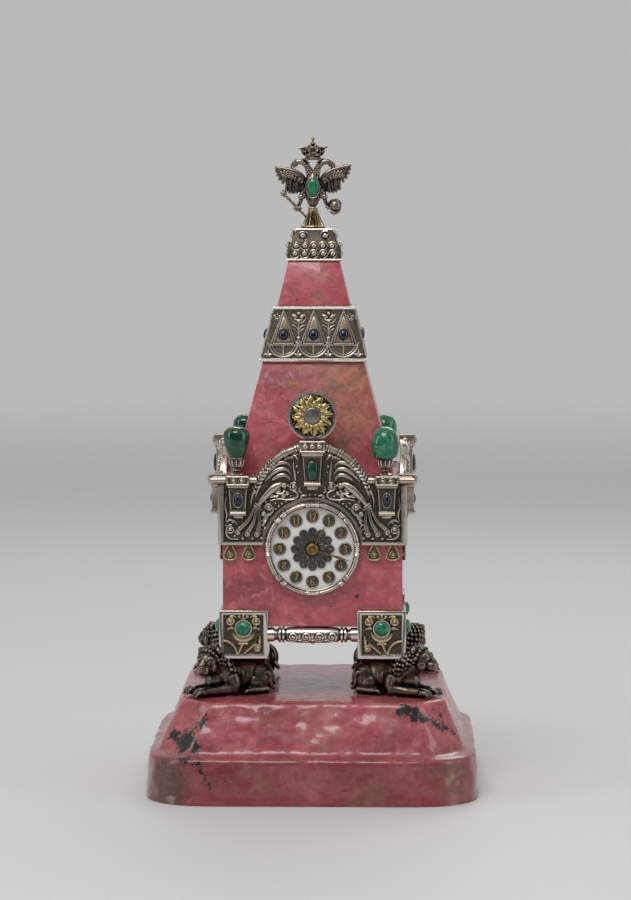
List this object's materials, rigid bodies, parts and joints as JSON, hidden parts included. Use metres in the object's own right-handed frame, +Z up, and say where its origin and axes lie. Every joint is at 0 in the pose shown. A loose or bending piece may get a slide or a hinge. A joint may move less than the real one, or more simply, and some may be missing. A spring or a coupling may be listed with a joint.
{
  "type": "steeple clock",
  "caption": "Tabletop steeple clock: stone plinth and tapering tower with silver mounts, couchant lions, jewelled finials, round dial, eagle finial and a hinged rear cover.",
  "frame": {"origin": "middle of the plinth underside, on the surface the clock stands on", "axes": "+Z up along the spire, the dial faces -Y, +X to the viewer's right"},
  "size_m": [0.1474, 0.1474, 0.291],
  "materials": {
    "pink_stone": "polished",
    "dark_silver": "oxidised satin",
    "silver": "oxidised with bright edges",
    "emerald": "polished cabochon",
    "sapphire": "polished cabochon",
    "gilt": "satin gilt",
    "dark_metal": "oxidised with gilt edges",
    "enamel": "glossy enamel",
    "brass": "satin",
    "steel": "polished"
  },
  "bodies": {
    "clock_case": {"plinth": "pink_stone", "body_block": "pink_stone", "spire_lower": "pink_stone", "spire_upper": "pink_stone", "lion_front_left": "dark_silver", "lion_front_right": "dark_silver", "lion_rear_left": "dark_silver", "lion_rear_right": "dark_silver", "corner_block_front_left": "silver", "corner_block_front_right": "silver", "corner_block_rear_left": "silver", "corner_block_rear_right": "silver", "spindle_rails": "silver", "frieze_front": "silver", "frieze_rear": "silver", "frieze_left": "silver", "frieze_right": "silver", "corner_pedestals": "silver", "keystones": "silver", "finial_cups": "silver", "spire_band": "silver", "spire_cap": "silver", "bell_foot": "silver", "eagle": "silver", "sun_disc": "silver", "bezel": "silver", "block_emeralds": "emerald", "keystone_emeralds": "emerald", "finial_emeralds": "emerald", "eagle_emerald": "emerald", "sapphires": "sapphire", "frieze_drops": "gilt", "sun_rays": "gilt", "numeral_discs": "dark_metal", "dial_rosette": "dark_metal", "dial_plate": "enamel", "drum_case": "brass", "front_plate": "brass", "back_plate": "brass", "balance_cock": "brass", "rear_frame": "brass", "tie_rod": "steel", "hinge_pin": "steel"},
    "minute_hand_body": {"minute_hand": "gilt", "cannon_pinion": "steel", "centre_wheel": "brass"},
    "hour_hand_body": {"hour_hand": "gilt", "hour_wheel": "brass"},
    "minute_wheel_body": {"minute_wheel": "brass"},
    "barrel_body": {"mainspring_barrel": "brass", "mainspring": "steel"},
    "third_wheel_body": {"third_wheel": "brass"},
    "fourth_wheel_body": {"fourth_wheel": "brass"},
    "escape_wheel_body": {"escape_wheel": "brass"},
    "pallet_body": {"pallet_fork": "steel"},
    "balance_body": {"balance_wheel": "brass", "hairspring": "steel"},
    "winding_key_body": {"winding_key": "steel", "barrel_arbor": "steel"},
    "rear_cover_body": {"rear_cover": "brass"}
  },
  "joints": [
    {"name": "minute_hand_turn", "type": "hinge", "parent": "clock_case", "child": "minute_hand_body", "pos_m": [0, 0, 0.1088], "axis": [0, 1, 0], "continuous": true},
    {"name": "hour_hand_turn", "type": "hinge", "parent": "clock_case", "child": "hour_hand_body", "pos_m": [0, 0, 0.1088], "axis": [0, 1, 0], "continuous": true},
    {"name": "minute_wheel_turn", "type": "hinge", "parent": "clock_case", "child": "minute_wheel_body", "pos_m": [0.0052, 0, 0.1058], "axis": [0, 1, 0], "continuous": true},
    {"name": "barrel_turn", "type": "hinge", "parent": "clock_case", "child": "barrel_body", "pos_m": [-0.00822, 0, 0.10581], "axis": [0, 1, 0], "continuous": true},
    {"name": "third_wheel_turn", "type": "hinge", "parent": "clock_case", "child": "third_wheel_body", "pos_m": [0.00613, 0, 0.11394], "axis": [0, 1, 0], "continuous": true},
    {"name": "fourth_wheel_turn", "type": "hinge", "parent": "clock_case", "child": "fourth_wheel_body", "pos_m": [0.01041, 0, 0.10783], "axis": [0, 1, 0], "continuous": true},
    {"name": "escape_wheel_turn", "type": "hinge", "parent": "clock_case", "child": "escape_wheel_body", "pos_m": [0.0109, 0, 0.10225], "axis": [0, 1, 0], "continuous": true},
    {"name": "pallet_rock", "type": "hinge", "parent": "clock_case", "child": "pallet_body", "pos_m": [0.00778, 0, 0.09914], "axis": [0, 1, 0], "range_deg": [-5, 5]},
    {"name": "balance_swing", "type": "hinge", "parent": "clock_case", "child": "balance_body", "pos_m": [0.0029, 0, 0.09736], "axis": [0, 1, 0], "range_deg": [-150, 150], "stiffness_Nm_per_rad": 0.000001},
    {"name": "winding_key_turn", "type": "hinge", "parent": "clock_case", "child": "winding_key_body", "pos_m": [-0.00822, 0, 0.10581], "axis": [0, 1, 0], "continuous": true},
    {"name": "rear_cover_hinge", "type": "hinge", "parent": "clock_case", "child": "rear_cover_body", "pos_m": [0.0224, 0.0425, 0.1048], "axis": [0, 0, -1], "range_deg": [0, 110]}
  ],
  "couplings": [
    {"joint": "hour_hand_turn", "follows": "minute_hand_turn", "ratio": 0.083333},
    {"joint": "minute_wheel_turn", "follows": "minute_hand_turn", "ratio": -0.33333},
    {"joint": "barrel_turn", "follows": "minute_hand_turn", "ratio": -0.16667},
    {"joint": "third_wheel_turn", "follows": "minute_hand_turn", "ratio": -7},
    {"joint": "escape_wheel_turn", "follows": "fourth_wheel_turn", "ratio": -6}
  ]
}
